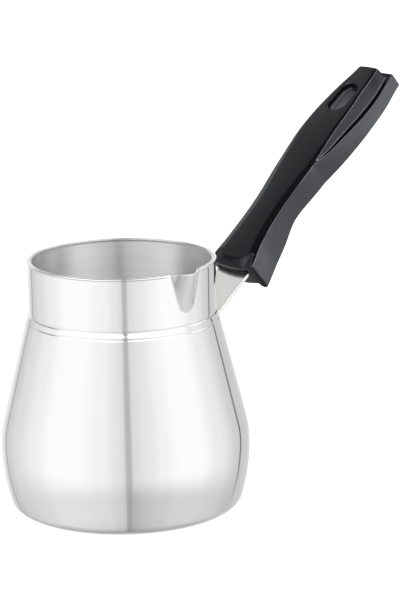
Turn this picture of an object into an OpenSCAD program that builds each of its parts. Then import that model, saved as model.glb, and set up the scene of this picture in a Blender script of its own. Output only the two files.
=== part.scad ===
// Stainless steel coffee pot (cezve) with a pressed pouring spout, a bent
// steel bracket and a moulded handle held by one screw. Millimetres, +Z up.
// The origin is the centre of the flat underside. The handle points along
// +X and the spout along -Y, at a right angle for a right-handed pour.

/* [Pot] */
// Height from the table to the top of the lip
pot_height = 108; // [102:0.5:114]
// Outer radius of the straight neck
neck_radius = 40; // [39:0.1:40.5]
// Outer radius of the belly at its widest
belly_radius = 53.5; // [52.5:0.1:54.5]
// Height of the widest part of the belly
belly_height = 27; // [24:0.5:30]
// Radius of the rounded edge around the underside
base_edge_radius = 6; // [4:0.5:8]
// Thickness of the drawn sheet
sheet = 1.0; // [0.8:0.1:1.2]
// Lean of the shoulder from the vertical, in degrees
shoulder_lean = 14; // [13:0.5:15]
// Height of the lower line around the foot of the neck
shoulder_top = 82.3; // [80:0.1:84]
// Height of the band between the two lines around the neck
band_height = 2.9; // [2:0.1:4]

/* [Lip] */
// Width of the rolled lip, from inside to outside
lip_width = 2.2; // [2:0.1:2.6]
// Height of the rolled lip
lip_height = 0.8; // [0.7:0.05:1.2]
// How far the lip stands out from the neck
lip_proud = 0.4; // [0.3:0.1:0.8]

/* [Spout] */
// Radius of the spout's mouth
spout_mouth_radius = 8.2; // [7:0.1:9]
// Radius of the spout where it leaves the neck
spout_foot_radius = 4.8; // [4:0.1:5.5]
// Distance the spout stands out from the neck at the lip
spout_reach = 4.8; // [4:0.1:6]
// Height of the spout
spout_height = 17.5; // [15:0.5:20]

/* [Bracket] */
// Width of the steel strap
strap_width = 19; // [17:0.5:19]
// Thickness of the strap
strap_thickness = 1.5; // [1.2:0.1:1.6]
// Slope of the strap above the horizontal, in degrees
strap_slope = 37.2; // [36.5:0.1:38]
// Length of the strap beyond its bend
strap_length = 45; // [42:0.5:47]
// Width of the tongue that runs into the grip
tongue_width = 12; // [10:0.5:13]
// Inside radius of the bend
bend_radius = 2.5; // [2:0.1:3]
// Height where the foot ends and the bend starts
foot_top = 71.8; // [71:0.1:73]
// Height of the foot that is welded to the shoulder
foot_height = 20; // [18:0.5:22]
// Radius of the dimples that the spot welds leave
weld_radius = 2.2; // [1.5:0.1:2.5]

/* [Grip] */
// Distance of the grip's root from the axis of the pot
grip_x = 67; // [66.5:0.1:67.5]
// Height of the grip's root
grip_z = 91.5; // [91.2:0.1:91.8]
// Slope of the grip above the horizontal, in degrees
grip_slope = 41; // [40.5:0.1:41.5]
// Length of the grip from its root to its tip
grip_length = 120.3; // [118:0.1:123]
// Distance by which the raised slab stops short of the tip
slab_setback = 2.6; // [2:0.1:4]
// Slant of the slab's sides, as width for each unit of height
slab_draft = 0.33; // [0.2:0.01:0.4]
// Distance of the root's corners along the grip
root_setback = 0.1; // [0:0.1:1]
// How far the rounded root bulges towards the pot
root_bulge = 1.75; // [1.4:0.05:2.2]
// Length of the hanging slot
slot_length = 17.6; // [16:0.1:19]
// Width of the hanging slot
slot_width = 10; // [8:0.1:10.5]
// Distance of the slot's centre from the root
slot_place = 97.2; // [95:0.1:99]
// Thickness of the side walls beside the recess under the root
recess_wall = 2; // [1.6:0.1:2.6]
// Depth of the recess under the root
recess_depth = 4.1; // [3:0.1:4.2]

/* [Screw] */
// Radius of the screw's thread
screw_radius = 2.0; // [1.5:0.1:2]
// Radius of the screw's head
head_radius = 3.8; // [3.4:0.1:4]
// Height of the screw's head
head_height = 2.4; // [2:0.1:2.6]
// Distance of the screw from the bend, along the strap
screw_place = 36; // [35:0.5:37]
// Radius of the brass insert
insert_radius = 3.0; // [2.8:0.1:3.2]
// Length of the brass insert
insert_length = 4.4; // [4:0.1:4.6]

/* [Hidden] */

$fn = 128;
small_fn = 48;
eps = 0.01;                       // overlap that keeps a cut clean

// Belly: a base edge arc, a long lower arc, a tighter upper arc and a cone.
lower_arc = 80;                   // radius of the belly below its widest part
upper_arc = 50;                   // radius of the belly above it
arc_step = 3;                     // degrees between the points of an arc
edge_centre_x = belly_radius - lower_arc
    + sqrt(pow(lower_arc - base_edge_radius, 2)
         - pow(belly_height - base_edge_radius, 2));
edge_lean = asin((belly_height - base_edge_radius) / (lower_arc - base_edge_radius));
cone_foot_x = belly_radius - upper_arc * (1 - cos(shoulder_lean));
cone_foot_z = belly_height + upper_arc * sin(shoulder_lean);

// Radius of the shoulder's cone at a height
function cone_radius(z) = cone_foot_x - (z - cone_foot_z) * tan(shoulder_lean);

// Points of an arc, from one angle to another
function arc(x, z, r, from, to, steps) =
    [for (i = [0:steps]) let (a = from + (to - from) * i / steps)
        [x + r * cos(a), z + r * sin(a)]];

// Side of the belly, moved inwards by a distance
function belly_side(inset) = concat(
    arc(edge_centre_x, base_edge_radius, base_edge_radius - inset,
        -90, -edge_lean, round(90 / arc_step / 2)),
    arc(belly_radius - lower_arc, belly_height, lower_arc - inset,
        -edge_lean + arc_step / 4, 0, round(edge_lean / arc_step) * 2),
    arc(belly_radius - upper_arc, belly_height, upper_arc - inset,
        arc_step / 2, shoulder_lean, round(shoulder_lean / arc_step) * 2));

// Band between the two fine grooves at the foot of the neck
groove_depth = 0.28;
groove_height = 0.35;
band_top = shoulder_top + band_height;
band_foot_r = cone_radius(shoulder_top) - 0.15;
band_head_r = neck_radius + 0.25;
band = [
    [cone_radius(shoulder_top), shoulder_top],
    [band_foot_r - groove_depth, shoulder_top + groove_height / 2],
    [band_foot_r, shoulder_top + groove_height],
    [band_head_r, band_top - groove_height],
    [neck_radius - groove_depth, band_top - groove_height / 2],
    [neck_radius, band_top]];

// Rolled lip: two small rounds joined by a flat top
lip_round = lip_height / 2 - 0.05;
lip_outer_r = neck_radius + lip_proud;
lip_inner_r = lip_outer_r - lip_width;
lip_z = pot_height - lip_round;
outer_side = concat([[0, 0]], belly_side(0), band,
    [[neck_radius, pot_height - lip_height]],
    arc(lip_outer_r - lip_round, lip_z, lip_round, -45, 90, 9),
    [[0, pot_height]]);
above = 5;                        // height of a cutter above the lip
inner_side = concat([[0, sheet]], belly_side(sheet),
    [[cone_radius(shoulder_top) - sheet / cos(shoulder_lean), shoulder_top],
     [neck_radius - sheet, band_top],
     [neck_radius - sheet, pot_height - lip_height - 0.3]],
    arc(lip_inner_r + lip_round, lip_z, lip_round, 225, 90, 9),
    [[lip_inner_r + lip_round, pot_height + above], [0, pot_height + above]]);

// Spout: a leaning cone, flush with the neck at its foot
mouth_x = neck_radius + spout_reach - spout_mouth_radius;
spout_foot_x = neck_radius - spout_foot_radius;
spout_lean = atan((mouth_x - spout_foot_x) / spout_height);
spout_span = spout_height / cos(spout_lean);
spout_taper = (spout_mouth_radius - spout_foot_radius) / spout_span;
spout_below = 4;                  // part of the cone hidden below its foot

// Bracket in the X-Z plane. Its bend starts on the shoulder's cone.
outer_bend = bend_radius + strap_thickness;
bend_x = cone_radius(foot_top) + outer_bend * cos(shoulder_lean);
bend_z = foot_top + outer_bend * sin(shoulder_lean);
strap_up = 90 + strap_slope;      // direction of the strap's upper side
strap_half = strap_width / 2;
weld_depth = 0.4;
weld_rows = [0.28, 0.72];         // heights of the welds on the foot, as shares
weld_spread = 4.6;

// Grip: each list gives [distance from the root, value]
half_widths = [[-3, 13.7], [0, 13.3], [14, 10.5], [34, 9.2], [57, 10.5], [86, 9.9],
    [105, 7.7], [grip_length, 5.7]];
ridge_heights = [[-3, 4.1], [0, 4.5], [14, 5.6], [40, 6.3], [57, 6.8], [76, 7.6],
    [98, 6.0], [grip_length, 3.6]];
slab_heights = [[-3, 0.4], [57, 0.4], [70, 2.9], [84, 4.5], [102, 6.0],
    [grip_length, 5.5]];
ledge_widths = [[-3, 0.04], [56, 0.04], [62, 0.8], [76, 2.1], [90, 2.8],
    [grip_length, 2.4]];
underside = [[-3, -10.6], [8, -10.3], [22, -8.6], [34, -5.4], [48, -5.6], [88, -7.2],
    [105, -9.1], [grip_length, -10.0]];
panel_insets = [[-3, 3.6], [48, 3.4], [78, 1.4], [grip_length, 1]];
panel_rises = [[-3, 1.2], [48, 1.1], [78, 0.5], [grip_length, 0.4]];
panel_crown = 0.3;
under_edge = 0.9;                 // bevel along the underside
slab_end = grip_length - slab_setback;
station_gap = 3;
tip_cut = 0.05;                   // length over which the slab stops

// Cubic curve through the points of a list, with a level start and end
function slope_of(t, i) = i <= 0 || i >= len(t) - 1 ? 0
    : (t[i + 1][1] - t[i - 1][1]) / (t[i + 1][0] - t[i - 1][0]);
function span_of(t, s, i = 0) = i >= len(t) - 2 || s < t[i + 1][0] ? i : span_of(t, s, i + 1);
function curve(t, s) =
    let (i = span_of(t, s), h = t[i + 1][0] - t[i][0],
         u = min(1, max(0, (s - t[i][0]) / h)))
    t[i][1] * (1 + 2 * u) * pow(1 - u, 2) + t[i + 1][1] * u * u * (3 - 2 * u)
    + h * slope_of(t, i) * u * pow(1 - u, 2) - h * slope_of(t, i + 1) * u * u * (1 - u);

// Half of a cross-section of the grip, from the underside to the crown.
// slab is 1 along the raised slab and 0 beyond its end.
function half_ring(s, slab) =
    let (w = curve(half_widths, s), ridge = curve(ridge_heights, s),
         h = curve(slab_heights, s), foot = w + slab_draft * h,
         body = foot + curve(ledge_widths, s), floor_z = curve(underside, s),
         ledge = ridge - h, rise = curve(panel_rises, s), flat = 0.02)
    [[body - under_edge, floor_z],
     [body, floor_z + under_edge],
     [body, ledge],
     [foot, ledge + flat],
     [w, ledge + (slab == 1 ? h : 2 * flat)],
     [w - curve(panel_insets, s), ledge + (slab == 1 ? h + rise : 3 * flat)],
     [0, ledge + (slab == 1 ? h + rise + panel_crown : 4 * flat)]];
function full_ring(s, slab) =
    let (half = half_ring(s, slab), n = len(half))
    concat([for (p = half) [s, -p[0], p[1]]],
           [for (i = [n - 2:-1:0]) [s, half[i][0], half[i][1]]]);

// Root: rounded in plan, with a sloping band above its edge
root_start = -3;
root_round = (pow(curve(half_widths, 0), 2) + root_bulge * root_bulge) / (2 * root_bulge);
root_band = 2.9;
root_band_rise = 1.15;
root_edge = curve(ridge_heights, 0);
root_depth = 30;                  // reach of the cutter that shapes the root
recess_roof = curve(underside, root_start) + recess_depth;
recess_end = 32;                  // the underside has risen to the roof before this

// Socket for the strap, and the screw's seat
socket_gap = 0.15;                // play around the strap
strap_at_root = 22;               // length of strap outside the grip
socket_mouth_rise = 2;
socket_mouth_depth = 5;
tongue_start = strap_at_root + socket_mouth_depth - 1;
strap_under = -strap_thickness / 2;
floor_wall = 4;                   // material between the strap and the washer
washer_height = 1;
seat = strap_under - socket_gap - floor_wall;
screw_gap = 0.2;
head_gap = 0.6;
insert_start = strap_thickness / 2 + socket_gap;
screw_end = insert_start + insert_length - 0.3;
under_head = seat - washer_height;
washer_split = 0.8;
drive_depth = 1.4;
drive_length = 4.4;
drive_width = 1;

// Frame of the strap: origin at the end of the bend, X along the strap
module on_strap() {
    translate([bend_x, 0, bend_z]) rotate([0, -strap_slope, 0])
        translate([0, 0, bend_radius + strap_thickness / 2]) children();
}

// Frame of the grip: origin at its root, X along the grip
module on_grip() {
    translate([grip_x, 0, grip_z]) rotate([0, -grip_slope, 0]) children();
}

// A leaning cone for the spout, grown or shrunk by a distance
module spout_cone(grow, top) {
    translate([0, -spout_foot_x, pot_height - spout_height])
        rotate([spout_lean, 0, 0])
            translate([0, 0, -spout_below])
                cylinder(r1 = spout_foot_radius - spout_below * spout_taper + grow,
                         r2 = spout_mouth_radius + top * spout_taper + grow,
                         h = spout_span + spout_below + top);
}

// The spout's outer skin, level with the lip at its mouth
module spout_outside() {
    difference() {
        spout_cone(0, above);
        translate([0, 0, pot_height]) cylinder(r = 2 * belly_radius, h = 4 * above);
    }
}

module pot_body() {
    color("silver") difference() {
        union() {
            rotate_extrude() polygon(outer_side);
            spout_outside();
        }
        rotate_extrude() polygon(inner_side);
        spout_cone(-sheet, 2 * above);
    }
}

// Foot of the bracket: a sheet that lies on the shoulder's cone
module bracket_foot() {
    foot_low = foot_top - foot_height;
    over = strap_thickness / cos(shoulder_lean);
    intersection() {
        rotate_extrude() polygon([
            [cone_radius(foot_low), foot_low],
            [cone_radius(foot_low) + over, foot_low],
            [cone_radius(foot_top + 1) + over, foot_top + 1],
            [cone_radius(foot_top + 1), foot_top + 1]]);
        translate([0, 0, foot_low]) rotate([90, 0, 90]) linear_extrude(2 * belly_radius) union() {
            translate([-strap_half, strap_half]) square([strap_width, foot_height]);
            translate([0, strap_half]) circle(r = strap_half);
        }
    }
}

// Side view of the bend and the strap, drawn with Y as height
module bracket_side() {
    polygon(concat(
        arc(bend_x, bend_z, outer_bend, 180 + shoulder_lean, strap_up, 12),
        [[bend_x + strap_length * cos(strap_slope) + outer_bend * cos(strap_up),
          bend_z + strap_length * sin(strap_slope) + outer_bend * sin(strap_up)],
         [bend_x + strap_length * cos(strap_slope) + bend_radius * cos(strap_up),
          bend_z + strap_length * sin(strap_slope) + bend_radius * sin(strap_up)]],
        arc(bend_x, bend_z, bend_radius, strap_up, 180 + shoulder_lean, 12)));
}

module handle_bracket() {
    foot_low = foot_top - foot_height;
    color("gainsboro") difference() {
        union() {
            bracket_foot();
            translate([0, strap_half, 0]) rotate([90, 0, 0])
                linear_extrude(strap_width) bracket_side();
        }
        on_strap() {
            translate([screw_place, 0, -strap_thickness])
                cylinder(r = screw_radius + screw_gap, h = 2 * strap_thickness, $fn = small_fn);
            for (side = [-1, 1])
                translate([tongue_start, side * (tongue_width + strap_width) / 2 - strap_half,
                           -strap_thickness])
                    cube([strap_length, strap_width, 2 * strap_thickness]);
        }
        for (share = weld_rows, side = [-1, 1])
            let (z = foot_low + share * foot_height)
            translate([cone_radius(z), side * weld_spread, z])
                rotate([0, 90 - shoulder_lean, 0])
                    translate([0, 0, strap_thickness - weld_depth])
                        cylinder(r = weld_radius, h = strap_thickness, $fn = small_fn);
    }
}

// The grip's solid form, lofted through its cross-sections
module grip_form() {
    stops = concat([for (s = [root_start:station_gap:slab_end - 1]) [s, 1]],
        [[slab_end, 1], [slab_end + tip_cut, 0], [grip_length, 0]]);
    rings = [for (stop = stops) full_ring(stop[0], stop[1])];
    n = len(rings[0]);
    last = len(rings) - 1;
    polyhedron(
        points = [for (ring = rings) each ring],
        faces = concat(
            [[for (j = [0:n - 1]) j]],
            [for (i = [0:last - 1], j = [0:n - 1]) let (k = (j + 1) % n)
                [i * n + j, (i + 1) * n + j, (i + 1) * n + k]],
            [for (i = [0:last - 1], j = [0:n - 1]) let (k = (j + 1) % n)
                [i * n + j, (i + 1) * n + k, i * n + k]],
            [[for (j = [n - 1:-1:0]) last * n + j]]));
}

// Everything outside the rounded, bevelled root
module root_cutter() {
    reach = 2 * root_depth;
    difference() {
        translate([-root_depth + root_start, -root_depth, -root_depth])
            cube([root_depth + 8, reach, reach]);
        translate([root_setback + root_round - root_bulge, 0, 0]) rotate_extrude() polygon([
            [0, -root_depth - 1], [root_round, -root_depth - 1],
            [root_round, root_edge],
            [root_round - root_band, root_edge + root_band_rise],
            [root_round - 3 * root_band, root_edge + 3 * root_band_rise],
            [0, root_edge + 3 * root_band_rise]]);
    }
}

// Recess under the root, between the two side walls
module root_recess() {
    stops = [for (s = [root_start - station_gap:station_gap:recess_end]) s];
    edge = [for (s = stops) [s, curve(half_widths, s) - recess_wall]];
    translate([0, 0, recess_roof - root_depth]) linear_extrude(root_depth)
        polygon(concat(edge, [for (i = [len(edge) - 1:-1:0]) [edge[i][0], -edge[i][1]]]));
}

// Hanging slot, straight through the grip
module hanging_slot() {
    reach = 20;
    offset_x = (slot_length - slot_width) / 2;
    translate([slot_place, 0, -reach]) {
        for (side = [-1, 1]) translate([side * offset_x, 0, 0])
            cylinder(r = slot_width / 2, h = 2 * reach, $fn = small_fn);
        translate([-offset_x, -slot_width / 2, 0])
            cube([2 * offset_x, slot_width, 2 * reach]);
    }
}

module strap_socket() {
    before = 8;                   // reach of the cutters outside the root
    on_strap() {
        translate([strap_at_root - before, -tongue_width / 2 - socket_gap,
                   strap_under - socket_gap])
            cube([strap_length - strap_at_root + before + 1, tongue_width + 2 * socket_gap,
                  strap_thickness + 2 * socket_gap]);
        translate([strap_at_root - before, -strap_half - socket_gap, strap_under - socket_gap])
            cube([before + socket_mouth_depth, strap_width + 2 * socket_gap,
                  strap_thickness + socket_mouth_rise]);
    }
}

module handle_grip() {
    color([0.1, 0.1, 0.11]) difference() {
        on_grip() difference() {
            grip_form();
            root_cutter();
            root_recess();
            hanging_slot();
        }
        strap_socket();
        on_strap() translate([screw_place, 0, 0]) {
            translate([0, 0, seat - 1])
                cylinder(r = screw_radius + screw_gap, h = floor_wall + 2, $fn = small_fn);
            translate([0, 0, seat - 3 * floor_wall])
                cylinder(r = head_radius + head_gap, h = 3 * floor_wall, $fn = small_fn);
            cylinder(r = insert_radius, h = insert_start + insert_length, $fn = small_fn);
        }
    }
}

module threaded_insert() {
    color("goldenrod") on_strap() translate([screw_place, 0, insert_start]) difference() {
        cylinder(r = insert_radius, h = insert_length, $fn = small_fn);
        translate([0, 0, -eps])
            cylinder(r = screw_radius + 2 * eps, h = insert_length + 2 * eps, $fn = small_fn);
        translate([0, 0, insert_length / 2 - 0.3]) difference() {
            cylinder(r = insert_radius + 1, h = 0.6, $fn = small_fn);
            translate([0, 0, -1])
                cylinder(r = insert_radius - 0.4, h = 3, $fn = small_fn);
        }
    }
}

module handle_screw() {
    crown = head_height * 0.45;
    color("lightgray") on_strap() translate([screw_place, 0, under_head]) difference() {
        union() {
            translate([0, 0, -eps])
                cylinder(r = screw_radius, h = screw_end - under_head + eps, $fn = small_fn);
            translate([0, 0, -head_height + crown])
                cylinder(r = head_radius, h = head_height - crown, $fn = small_fn);
            translate([0, 0, -head_height])
                cylinder(r1 = head_radius - crown, r2 = head_radius, h = crown, $fn = small_fn);
        }
        for (turn = [0, 90]) rotate([0, 0, turn])
            translate([-drive_length / 2, -drive_width / 2, -head_height - eps])
                cube([drive_length, drive_width, drive_depth]);
    }
}

module lock_washer() {
    color("lightgray") on_strap() translate([screw_place, 0, under_head]) difference() {
        cylinder(r = head_radius, h = washer_height, $fn = small_fn);
        translate([0, 0, -eps])
            cylinder(r = screw_radius + screw_gap, h = washer_height + 2 * eps, $fn = small_fn);
        rotate([0, 0, 30]) translate([0, -washer_split / 2, -eps])
            cube([2 * head_radius, washer_split, washer_height + 2 * eps]);
    }
}

pot_body();
handle_bracket();
handle_grip();
threaded_insert();
handle_screw();
lock_washer();
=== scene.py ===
from functools import partial
import math

import bmesh
import bpy
import numpy as np
from mathutils import Matrix, Vector


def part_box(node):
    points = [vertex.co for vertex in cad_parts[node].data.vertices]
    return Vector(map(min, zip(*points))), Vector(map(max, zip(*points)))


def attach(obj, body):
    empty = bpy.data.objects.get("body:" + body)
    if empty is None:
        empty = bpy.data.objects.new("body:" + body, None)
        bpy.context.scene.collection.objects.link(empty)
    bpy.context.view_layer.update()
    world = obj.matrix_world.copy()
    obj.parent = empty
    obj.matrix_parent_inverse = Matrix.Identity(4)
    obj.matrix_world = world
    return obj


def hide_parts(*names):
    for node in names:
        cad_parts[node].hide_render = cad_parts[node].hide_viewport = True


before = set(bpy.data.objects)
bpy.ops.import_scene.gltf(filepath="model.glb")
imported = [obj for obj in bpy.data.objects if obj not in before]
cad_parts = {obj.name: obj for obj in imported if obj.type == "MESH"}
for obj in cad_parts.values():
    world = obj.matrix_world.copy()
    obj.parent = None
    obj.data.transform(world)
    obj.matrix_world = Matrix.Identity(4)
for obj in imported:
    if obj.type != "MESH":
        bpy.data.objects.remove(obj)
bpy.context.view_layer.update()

MM = 0.001
scene = bpy.context.scene
scene.view_settings.view_transform = "Standard"

# ---------------------------------------------------------------- camera
CAMERA_AZIMUTH = math.radians(-41.5)      # round the pot's axis
CAMERA_DISTANCE = 1.0992                  # horizontal, from the pot's axis
CAMERA_HEIGHT = 0.3567
CAMERA_PITCH = math.radians(13.69)
CAMERA_YAW = math.radians(1.72)
CAMERA_ROLL = math.radians(-0.96)
CAMERA_LENS, CAMERA_SENSOR = 159.4, 36.0


def add_camera():
    """A camera in front of the pot, pitched, yawed and rolled, then turned round the axis."""
    cp, sp = math.cos(CAMERA_PITCH), math.sin(CAMERA_PITCH)
    cy, sy = math.cos(CAMERA_YAW), math.sin(CAMERA_YAW)
    forward = Vector((sy * cp, cy * cp, -sp))
    level = Vector((cy, -sy, 0))
    above = level.cross(forward)
    cr, sr = math.cos(CAMERA_ROLL), math.sin(CAMERA_ROLL)
    right = cr * level + sr * above
    up = -sr * level + cr * above
    turn = Matrix.Rotation(CAMERA_AZIMUTH, 4, "Z")
    pose = Matrix((right, up, -forward)).transposed().to_4x4()
    pose.translation = Vector((0, -CAMERA_DISTANCE, CAMERA_HEIGHT))
    data = bpy.data.cameras.new("camera")
    data.lens = CAMERA_LENS
    data.sensor_width = CAMERA_SENSOR
    data.clip_start, data.clip_end = 0.05, 50
    camera = bpy.data.objects.new("camera", data)
    scene.collection.objects.link(camera)
    camera.matrix_world = turn @ pose
    scene.camera = camera


add_camera()


# ---------------------------------------------------------------- mesh helpers
def new_object(name, mesh):
    made = bpy.data.objects.new(name, mesh)
    scene.collection.objects.link(made)
    return made


def mesh_from(name, points, faces, smooth=True):
    mesh = bpy.data.meshes.new(name)
    mesh.from_pydata([tuple(p) for p in points], [], faces)
    mesh.validate()
    if smooth:
        mesh.shade_smooth()
    return mesh


def grid_faces(rows, columns):
    """Quads between neighbouring rows of points, where each row closes into a ring."""
    faces = []
    for i in range(rows - 1):
        for j in range(columns):
            a, b = i * columns + j, i * columns + (j + 1) % columns
            faces.append((a, b, b + columns, a + columns))
    return faces


def outward(mesh, merge=0.0):
    """Joins points closer than merge, then turns every face outwards."""
    work = bmesh.new()
    work.from_mesh(mesh)
    if merge:
        bmesh.ops.remove_doubles(work, verts=work.verts, dist=merge)
    bmesh.ops.recalc_face_normals(work, faces=work.faces)
    work.to_mesh(mesh)
    work.free()


def arc(x, z, r, start, stop, steps):
    """Points on an arc round (x, z), with its angles in degrees."""
    return [(x + r * math.cos(math.radians(start + (stop - start) * i / steps)),
             z + r * math.sin(math.radians(start + (stop - start) * i / steps)))
            for i in range(steps + 1)]


# ---------------------------------------------------------------- pot, in millimetres
POT_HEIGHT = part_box("pot_body")[1].z / MM
NECK_R = 40.0
BELLY_R, BELLY_Z = 53.5, 27.0
EDGE_R = 6.0                                    # rounding between the side and the underside
LOWER_ARC, UPPER_ARC = 80.0, 50.0               # radii of the belly's curve
LEAN = 14.0                                     # the shoulder's lean from upright, degrees
SHOULDER_TOP, BAND = 82.3, 2.9                  # height of the lower line, width of the band
SHEET = 1.0                                     # thickness
BASE_RINGS = (0.0, 8.0, 16.0, 24.0, 32.0, 38.0) # radii of the rings on the flat bottom
# (radius, height) round the two pressed lines, from the shoulder's top and from the neck's foot
LOWER_LINE = [(0.12, -0.5), (0.04, -0.2), (-0.14, 0.0), (-0.34, 0.15), (-0.2, 0.35),
              (-0.16, 0.6)]
UPPER_LINE = [(0.3, -0.6), (0.25, -0.35), (-0.05, -0.25), (-0.22, -0.12), (-0.06, 0.0),
              (0.0, 0.2)]
LIP_WIDTH, LIP_HEIGHT, LIP_PROUD = 2.2, 0.8, 0.4
SATIN_RINGS = 11                                # last rings of the lip, with the inside's finish
SPOUT_HEIGHT = 17.2
SPOUT_FOOT_HALF, SPOUT_LIP_HALF = 3.8, 8.1      # half-widths between the creases
SPOUT_RISE = 5.4                                # depth of the spout's V at the lip
SPOUT_FLANK = 1.19                              # slope of the V's flanks
SPOUT_TOE = 3.2                                 # height of the rounded foot
SPOUT_FILLET = 0.32                             # softness of the creases
SPOUT_SECTOR = math.radians(30)                 # the neck is plainly round beyond this angle
SPOUT_AT = math.radians(-90)                    # direction of the spout
LEAST_HALF, BASE_HALF = 0.3, 4.3                # spacing of the columns at and below its foot
BASE_DROP = 4.5                                 # how far below its foot they are evenly spaced
BLEND_RATE, BLEND_START = 30, 0.2               # from the spout's edge to the wall's, by share
SPOUT_COLUMNS = 36
FIRST_GAP, WIDEST_GAP, GAP_GROWTH = 0.12, 1.25, 1.25    # of the columns beside it, degrees
# heights of the neck's rings above the spout's foot, closest where its toe curves
NECK_RINGS = [-4.4, -3.4, -2.5, -1.7, -1.0, -0.5, -0.15, 0.0, 0.04, 0.1, 0.18, 0.3, 0.45, 0.65,
              0.9, 1.2, 1.55, 1.95, 2.4, 2.9, 3.5, 4.2, 5.0, 6.0, 7.2, 8.4, 9.6, 10.8, 12.0,
              13.2, 14.2, 15.0, 15.6]


def cone_radius(z):
    """Radius of the shoulder, which runs straight from the belly's curve to the lower line."""
    cone_r = BELLY_R - UPPER_ARC * (1 - math.cos(math.radians(LEAN)))
    cone_z = BELLY_Z + UPPER_ARC * math.sin(math.radians(LEAN))
    return cone_r - (z - cone_z) * math.tan(math.radians(LEAN))


def pot_profile():
    """Two lists of (radius, height): up the outside to the neck, and down the inside from it."""
    edge_x = (BELLY_R - LOWER_ARC
              + math.sqrt((LOWER_ARC - EDGE_R) ** 2 - (BELLY_Z - EDGE_R) ** 2))
    edge_lean = math.degrees(math.asin((BELLY_Z - EDGE_R) / (LOWER_ARC - EDGE_R)))

    def side(inset):
        return (arc(edge_x, EDGE_R, EDGE_R - inset, -90, -edge_lean, 14)
                + arc(BELLY_R - LOWER_ARC, BELLY_Z, LOWER_ARC - inset, -edge_lean, 0, 14)[1:]
                + arc(BELLY_R - UPPER_ARC, BELLY_Z, UPPER_ARC - inset, 0, LEAN, 10)[1:])

    def straight(a, b, steps):
        return [(a[0] + (b[0] - a[0]) * i / steps, a[1] + (b[1] - a[1]) * i / steps)
                for i in range(1, steps + 1)]

    top = SHOULDER_TOP + BAND
    foot = cone_radius(SHOULDER_TOP)
    lower = [(foot + r, SHOULDER_TOP + z) for r, z in LOWER_LINE]
    upper = [(NECK_R + r, top + z) for r, z in UPPER_LINE]
    outside = [(r, 0.0) for r in BASE_RINGS] + side(0)
    outside += straight(outside[-1], lower[0], 12) + lower[1:]
    outside += straight(outside[-1], upper[0], 3) + upper[1:]

    inner_r = NECK_R - SHEET
    shoulder = (foot - SHEET / math.cos(math.radians(LEAN)), SHOULDER_TOP)
    belly = side(SHEET)[::-1]
    inside = [(inner_r, top + 3), (inner_r, top + 1), (inner_r, top)]
    inside += straight(inside[-1], shoulder, 2)
    inside += straight(inside[-1], belly[0], 12)[:-1] + belly
    inside += [(r, SHEET) for r in reversed(BASE_RINGS)]
    return outside, inside


def lip_section():
    """(height above the lip's foot, offset of the wall, offset of the spout) over the lip."""
    inner = LIP_PROUD - LIP_WIDTH
    return [(-0.3, 0.0, 0.0), (-0.12, 0.02, 0.0), (-0.02, 0.09, 0.0), (0.08, 0.21, 0.0),
            (0.2, 0.33, 0.0), (0.32, 0.39, 0.0), (0.45, 0.4, 0.0), (0.57, 0.36, -0.02),
            (0.68, 0.26, -0.06), (0.76, 0.1, -0.13), (0.8, -0.14, -0.22), (0.8, -0.6, -0.5),
            (0.8, inner + 0.55, -0.78), (0.77, inner + 0.28, -0.9), (0.68, inner + 0.1, -1.0),
            (0.55, inner + 0.02, -1.08), (0.4, inner, -1.1), (0.22, inner + 0.05, -1.1),
            (0.05, inner + 0.2, -1.08), (-0.15, inner + 0.45, -1.05), (-0.4, -1.1, -1.02),
            (-0.7, -SHEET, -SHEET)]


def plan_columns():
    """Columns round the pot: ("spout", share between its creases, from -1 to 1), or
    ("wall", share of the way from a crease to the back, negative on the left)."""
    sector = [("spout", -1 + 2 * i / SPOUT_COLUMNS) for i in range(SPOUT_COLUMNS + 1)]
    steps = [0.0]
    gap = FIRST_GAP
    while steps[-1] < 180:
        steps.append(steps[-1] + gap)
        gap = min(WIDEST_GAP, gap * GAP_GROWTH)
    shares = [s / steps[-1] for s in steps[1:]]
    right = [("wall", s) for s in shares]
    left = [("wall", -s) for s in shares[:-1]][::-1]
    return left + sector + right


def spout_half(h):
    """Half-width between the creases at a height above the spout's lowest point."""
    if h < 0:
        u = min(1, -h / BASE_DROP)
        return LEAST_HALF + (BASE_HALF - LEAST_HALF) * u * u * (3 - 2 * u)
    half = SPOUT_FOOT_HALF + (SPOUT_LIP_HALF - SPOUT_FOOT_HALF) * h / SPOUT_HEIGHT
    return max(LEAST_HALF, half * math.sqrt(1 - max(0, 1 - h / SPOUT_TOE) ** 2))


def plan_radius(a, h, radius, half):
    """Distance of the neck's skin from the axis, in a direction and at a height.
    The spout is a hyperbola that meets the round neck at the creases, softened there."""
    rise = SPOUT_RISE * max(0, h) / SPOUT_HEIGHT
    if rise <= 0 or abs(a) > SPOUT_SECTOR:
        return radius
    grown = (SPOUT_FLANK * half) ** 2
    bend = (grown - rise * rise) / (2 * rise)
    reach = math.sqrt(radius * radius - half * half) + rise + bend
    c, q = math.cos(a), math.cos(a) ** 2 - (SPOUT_FLANK * math.sin(a)) ** 2
    out = (reach * c - math.sqrt(max(0, (reach * c) ** 2 - q * (reach ** 2 - bend ** 2)))) / q
    soft = SPOUT_FILLET * min(1, 0.25 + h / SPOUT_HEIGHT)
    near = max(0, 1 - abs(out - radius) / soft)
    return max(out, radius) + near * near * soft / 4


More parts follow.
